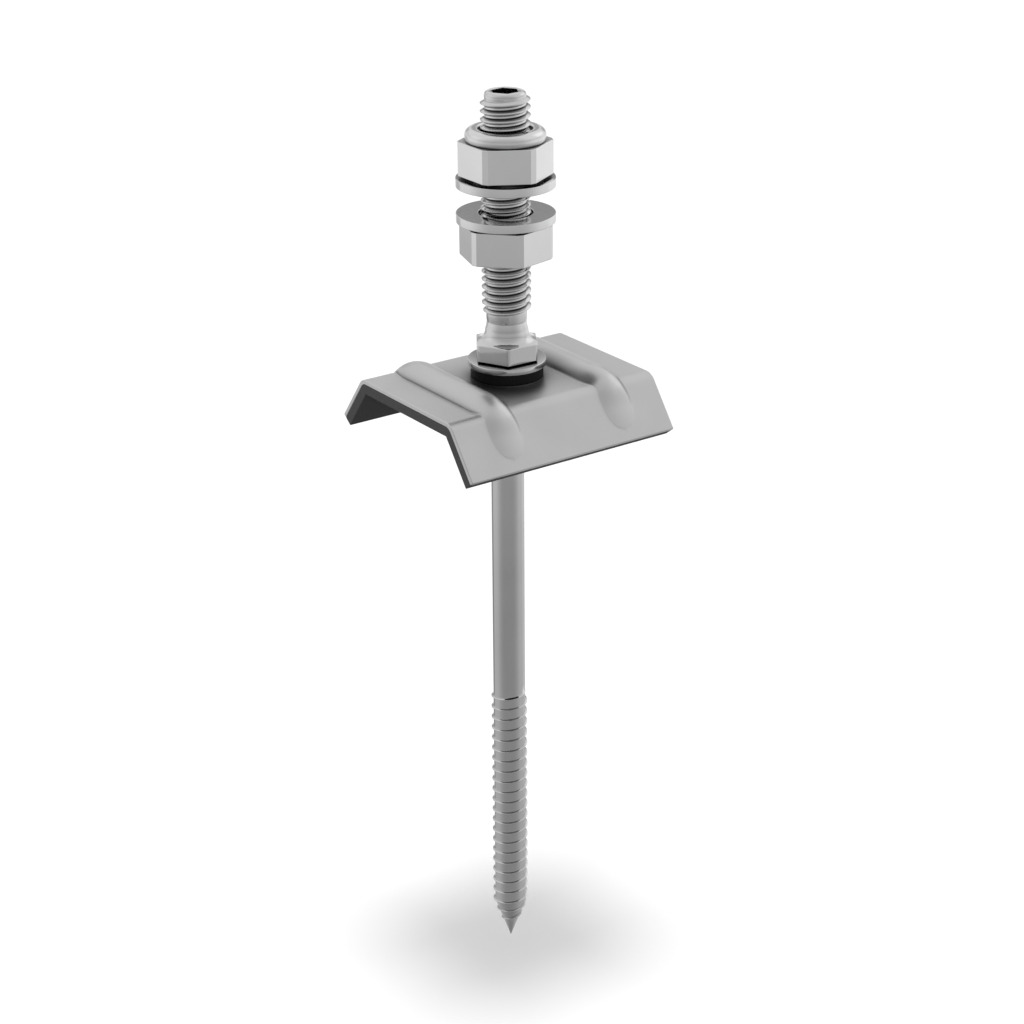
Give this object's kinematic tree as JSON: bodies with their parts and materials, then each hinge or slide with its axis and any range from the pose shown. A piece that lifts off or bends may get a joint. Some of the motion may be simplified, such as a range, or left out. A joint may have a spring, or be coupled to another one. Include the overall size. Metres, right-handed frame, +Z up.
{
  "type": "solar hanger bolt",
  "caption": "Double-ended roof anchor screw with a rubber-lined folded saddle, a sealing washer, and two nuts and washers that clamp a rail bracket.",
  "frame": {"origin": "on the screw's axis, at the underside of the saddle's rubber lining, which rests on the roof", "axes": "+Z up along the screw, away from the roof; +X along the saddle's ridge; +Y across it, towards one leg"},
  "size_m": [0.05, 0.0472, 0.1939],
  "materials": {
    "screw_steel": "rolled and turned stainless steel, satin",
    "nut_steel": "satin stainless steel",
    "washer_steel": "satin stainless steel",
    "disc_steel": "polished stainless steel",
    "insert_nylon": "dark nylon",
    "seal_rubber": "matt black rubber",
    "saddle_metal": "matt silver-grey pressed sheet",
    "lining_rubber": "matt dark grey rubber"
  },
  "bodies": {
    "bolt": {"hanger_bolt": "screw_steel", "seal_washer": "disc_steel", "seal_ring": "seal_rubber", "saddle": "saddle_metal", "saddle_lining": "lining_rubber"},
    "lower_washer": {"lower_washer": "washer_steel"},
    "lower_nut": {"lower_nut": "nut_steel"},
    "upper_washer": {"upper_washer": "washer_steel"},
    "upper_nut": {"upper_nut": "nut_steel", "locking_insert": "insert_nylon"}
  },
  "joints": [
    {"name": "lower_nut_travel", "type": "slide", "parent": "bolt", "child": "lower_washer", "axis": [0, 0, 1], "range_m": [-0.0105, 0]},
    {"name": "lower_nut_turn", "type": "hinge", "parent": "lower_washer", "child": "lower_nut", "pos_m": [0, 0, 0.032], "axis": [0, 0, 1], "range_deg": [-2520, 0]},
    {"name": "upper_nut_travel", "type": "slide", "parent": "bolt", "child": "upper_washer", "axis": [0, 0, 1], "range_m": [-0.0052, 0.006]},
    {"name": "upper_nut_turn", "type": "hinge", "parent": "upper_washer", "child": "upper_nut", "pos_m": [0, 0, 0.048], "axis": [0, 0, 1], "range_deg": [-1248, 1440]}
  ],
  "couplings": [
    {"joint": "lower_nut_travel", "follows": "lower_nut_turn", "m_per_rad": 0.00023873},
    {"joint": "upper_nut_travel", "follows": "upper_nut_turn", "m_per_rad": 0.00023873}
  ]
}
